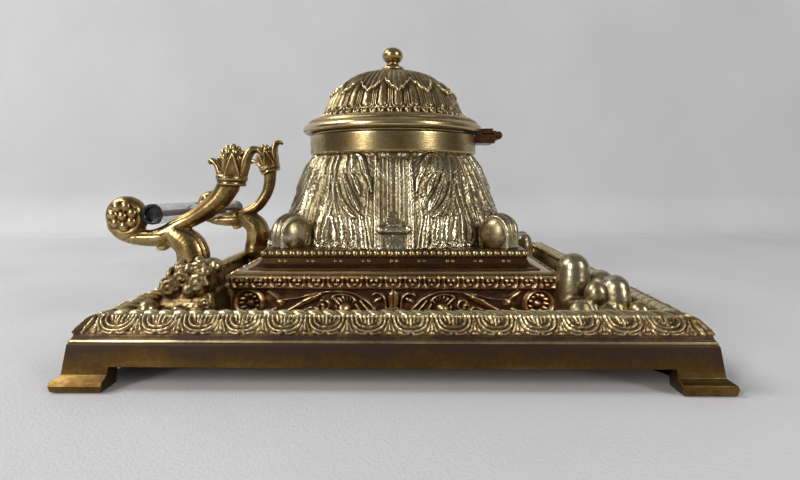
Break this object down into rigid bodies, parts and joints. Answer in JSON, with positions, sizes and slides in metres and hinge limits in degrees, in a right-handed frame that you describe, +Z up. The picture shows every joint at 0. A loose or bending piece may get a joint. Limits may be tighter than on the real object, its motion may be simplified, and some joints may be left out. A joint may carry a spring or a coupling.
{
  "type": "inkwell",
  "caption": "Square cast brass desk inkwell: footed tray, stepped plinth, bell-shaped font with a hinged domed lid, two scrolled pen rests and a loose clear pen.",
  "frame": {"origin": "under the middle of the whole outline, on the surface the feet stand on", "axes": "+Z up; -Y towards the pen rests (front), +Y towards the lid's hinge (back); X left to right"},
  "size_m": [0.1672, 0.1772, 0.1011],
  "materials": {
    "cast_brass": "aged, polished on the high parts",
    "plain_brass": "brushed, scratched",
    "polished_brass": "polished, worn",
    "dark_brass": "tarnished",
    "steel": "satin",
    "ceramic": "glazed",
    "clear_plastic": "clear",
    "black_plastic": "gloss",
    "dark_ink": "gloss"
  },
  "bodies": {
    "base": {"foot_frame": "plain_brass", "tray": "cast_brass", "tray_screws": "steel", "tray_finials": "cast_brass", "boss_screws": "steel", "plinth": "cast_brass", "plinth_screws": "steel", "plinth_cap": "cast_brass", "font_screws": "steel", "font_body": "cast_brass", "font_collar": "plain_brass", "ink_pot": "ceramic", "hinge_leaf_lower": "dark_brass", "hinge_pin": "steel", "pen_bracket_right": "polished_brass", "pen_bracket_left": "polished_brass", "bracket_screws": "steel", "corner_boss_front_right": "cast_brass", "corner_boss_front_left": "cast_brass", "corner_boss_back_right": "cast_brass", "corner_boss_back_left": "cast_brass", "corner_scroll_front_right": "cast_brass", "corner_scroll_front_left": "cast_brass", "corner_scroll_back_right": "cast_brass", "corner_scroll_back_left": "cast_brass"},
    "lid": {"lid_shell": "cast_brass", "lid_finial": "plain_brass", "lid_finial_nut": "steel", "hinge_leaf_upper": "dark_brass"},
    "pen": {"pen_barrel": "clear_plastic", "pen_cap": "clear_plastic", "pen_seam_ring": "black_plastic", "pen_end_plug": "black_plastic", "pen_tip": "plain_brass", "pen_refill": "dark_ink"}
  },
  "joints": [
    {"name": "lid_hinge", "type": "hinge", "parent": "base", "child": "lid", "pos_m": [0, 0.0429, 0.0677], "axis": [-1, 0, 0], "range_deg": [0, 105]},
    {"name": "pen_lift", "type": "slide", "parent": "base", "child": "pen", "axis": [0, 0, 1], "range_m": [0, 0.06]}
  ]
}
